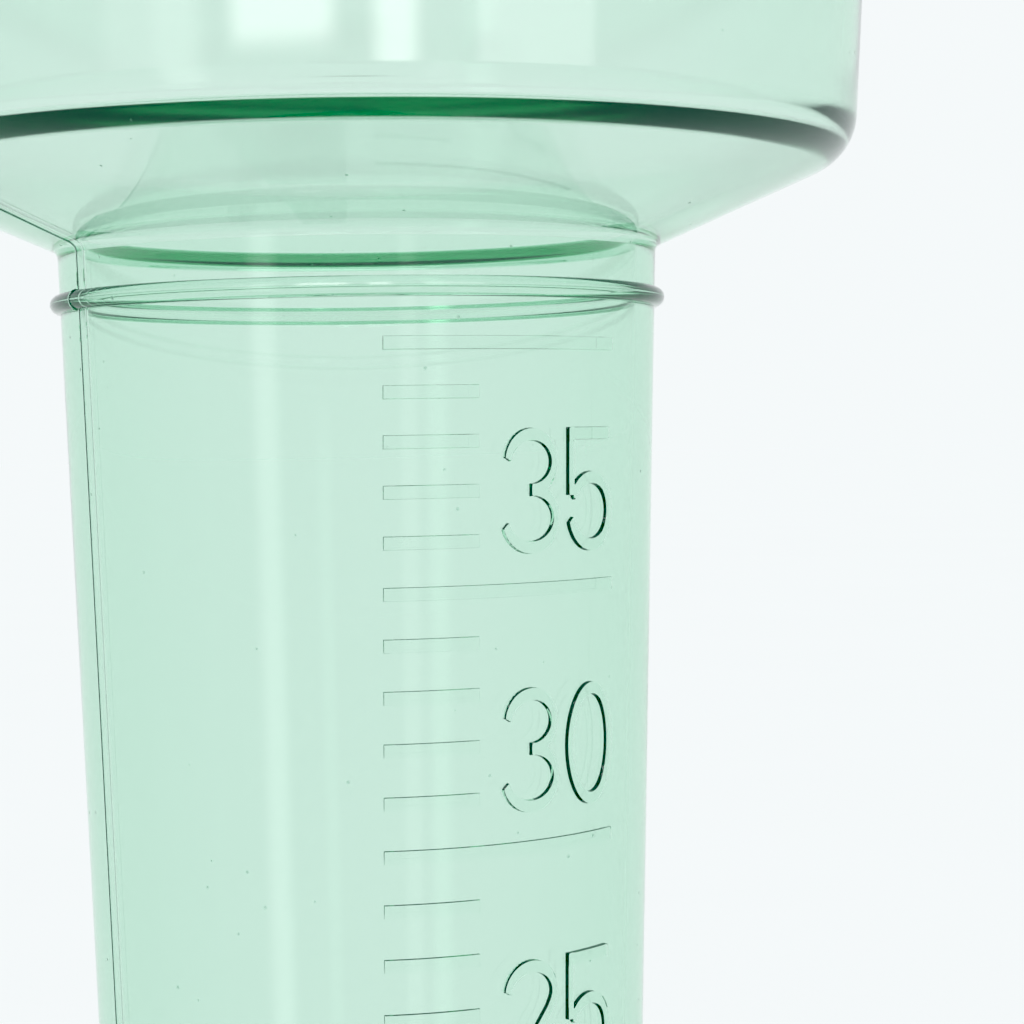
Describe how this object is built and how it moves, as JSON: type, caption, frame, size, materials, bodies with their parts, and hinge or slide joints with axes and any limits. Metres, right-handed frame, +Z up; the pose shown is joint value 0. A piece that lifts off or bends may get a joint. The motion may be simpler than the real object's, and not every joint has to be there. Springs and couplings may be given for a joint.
{
  "type": "manual rain gauge",
  "caption": "Wall-mounted rain gauge: translucent collector moulded onto a tapered graduated tube, standing in a clip-and-cup holder with a drop-in funnel.",
  "frame": {"origin": "centre of the wall plate's flat back face", "axes": "+Z up along the measuring tube, +Y into the wall, so the graduated side of the tube faces -Y"},
  "size_m": [0.0826, 0.1173, 0.25],
  "materials": {
    "clear_green_plastic": "clear, faintly green tinted, polished",
    "bracket_plastic": "fine moulded grain",
    "zinc_steel": "bright zinc plated",
    "grey_nylon": "matt"
  },
  "bodies": {
    "wall_mount": {"wall_plate": "bracket_plastic", "upper_screw": "zinc_steel", "lower_screw": "zinc_steel", "upper_wall_plug": "grey_nylon", "lower_wall_plug": "grey_nylon"},
    "holder": {"holder": "bracket_plastic"},
    "vessel": {"measuring_vessel": "clear_green_plastic"},
    "funnel": {"evaporation_funnel": "clear_green_plastic"},
    "strainer": {"leaf_strainer": "clear_green_plastic"}
  },
  "joints": [
    {"name": "holder_slide", "type": "slide", "parent": "wall_mount", "child": "holder", "axis": [0, 0, 1], "range_m": [0, 0.075]},
    {"name": "vessel_lift", "type": "slide", "parent": "holder", "child": "vessel", "axis": [0, 0, 1], "range_m": [0, 0.12]},
    {"name": "funnel_lift", "type": "slide", "parent": "vessel", "child": "funnel", "axis": [0, 0, 1], "range_m": [0, 0.05]},
    {"name": "strainer_lift", "type": "slide", "parent": "funnel", "child": "strainer", "axis": [0, 0, 1], "range_m": [0, 0.04]}
  ]
}
